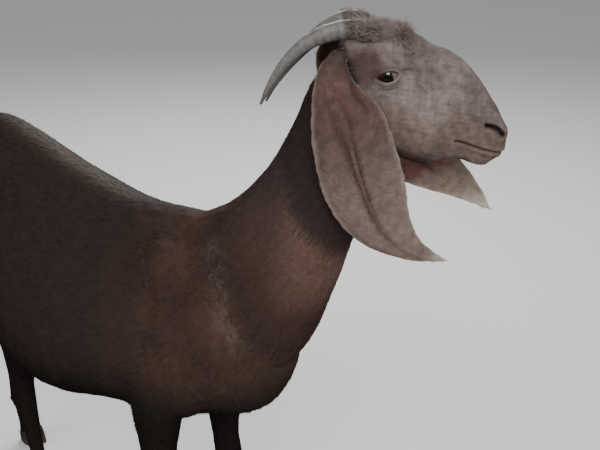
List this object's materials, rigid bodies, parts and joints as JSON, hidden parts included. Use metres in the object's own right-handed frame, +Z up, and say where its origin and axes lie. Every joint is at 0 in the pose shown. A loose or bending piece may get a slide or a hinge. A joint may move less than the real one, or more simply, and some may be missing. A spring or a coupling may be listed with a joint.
{
  "type": "beetal goat, still life-size model",
  "caption": "Standing beetal goat, neck turned to its left, with a strongly arched nose, long hanging folded ears and short horns that sweep back.",
  "frame": {"origin": "middle of the bounding box at floor level, under the goat's belly", "axes": "+X towards the chest and muzzle, +Y towards the goat's left side, +Z up"},
  "size_m": [1.17, 0.4346, 1.1056],
  "materials": {
    "body_coat": "short smooth very dark brown hair",
    "neck_coat": "short dark brown hair with a red cast",
    "head_coat": "short grey-brown roan hair",
    "ear_coat": "fine short taupe hair, pale at the tip",
    "leg_coat": "short near-black brown hair",
    "tail_hair": "longer straight dark hair",
    "eye": "wet dark brown",
    "horn": "dull grey horn with low rings",
    "hoof": "dull dark horn"
  },
  "bodies": {
    "root": {"torso": "body_coat", "neck": "neck_coat", "head": "head_coat", "tail": "tail_hair", "leg_front_right": "leg_coat", "leg_front_left": "leg_coat", "leg_hind_right": "leg_coat", "leg_hind_left": "leg_coat", "ear_right": "ear_coat", "eye_right": "eye", "horn_right": "horn", "ear_left": "ear_coat", "eye_left": "eye", "horn_left": "horn", "hoof_front_right_inner": "hoof", "hoof_front_right_outer": "hoof", "hoof_front_left_inner": "hoof", "hoof_front_left_outer": "hoof", "hoof_hind_right_inner": "hoof", "hoof_hind_right_outer": "hoof", "hoof_hind_left_inner": "hoof", "hoof_hind_left_outer": "hoof"}
  },
  "joints": []
}
